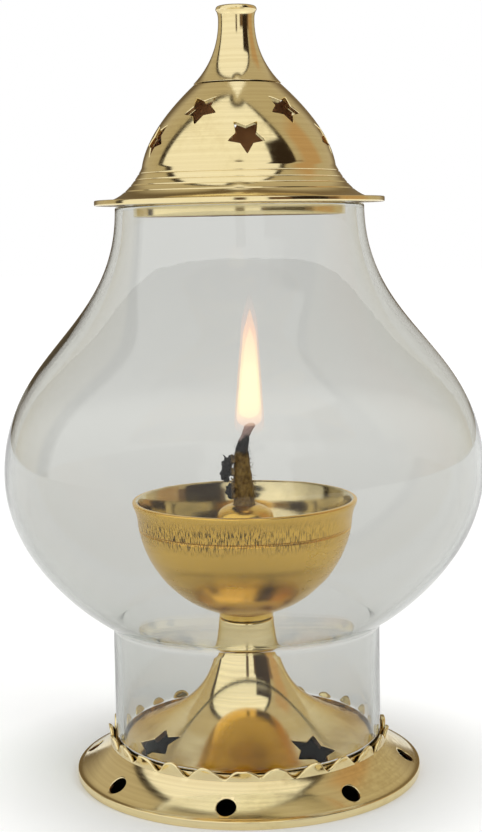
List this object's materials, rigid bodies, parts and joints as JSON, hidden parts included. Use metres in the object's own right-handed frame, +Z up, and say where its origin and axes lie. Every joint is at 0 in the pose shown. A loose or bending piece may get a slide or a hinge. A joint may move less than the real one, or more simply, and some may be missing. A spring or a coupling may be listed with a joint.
{
  "type": "oil lamp with glass chimney",
  "caption": "Brass oil lamp: scalloped vented skirt, pierced trumpet pedestal, round oil bowl with a wick, bulbous glass chimney and star-pierced lid with a finial.",
  "frame": {"origin": "middle of the foot's underside, on the lamp's axis", "axes": "+Z up along the lamp's axis, -Y towards the pictured front"},
  "size_m": [0.1188, 0.1188, 0.19],
  "materials": {
    "brass": "polished, turned",
    "aged_brass": "dull, turned",
    "chimney_glass": "clear, blown",
    "oiled_cotton": "oil-soaked cotton, charred at the tip"
  },
  "bodies": {
    "base": {"foot_skirt": "brass", "pedestal": "brass", "oil_bowl": "brass", "bowl_washer": "aged_brass", "bowl_nut": "aged_brass"},
    "holder": {"wick_holder": "brass"},
    "wick": {"cotton_wick": "oiled_cotton"},
    "chimney": {"glass_chimney": "chimney_glass"},
    "lid": {"lid_dome": "brass", "lid_collar": "brass", "lid_finial": "brass"}
  },
  "joints": [
    {"name": "chimney_lift", "type": "slide", "parent": "base", "child": "chimney", "axis": [0, 0, 1], "range_m": [0, 0.1]},
    {"name": "lid_lift", "type": "slide", "parent": "chimney", "child": "lid", "axis": [0, 0, 1], "range_m": [0, 0.06]},
    {"name": "wick_holder_lift", "type": "slide", "parent": "base", "child": "holder", "axis": [0, 0, 1], "range_m": [0, 0.03]},
    {"name": "wick_draw", "type": "slide", "parent": "holder", "child": "wick", "axis": [0, 0, 1], "range_m": [0, 0.01]}
  ]
}
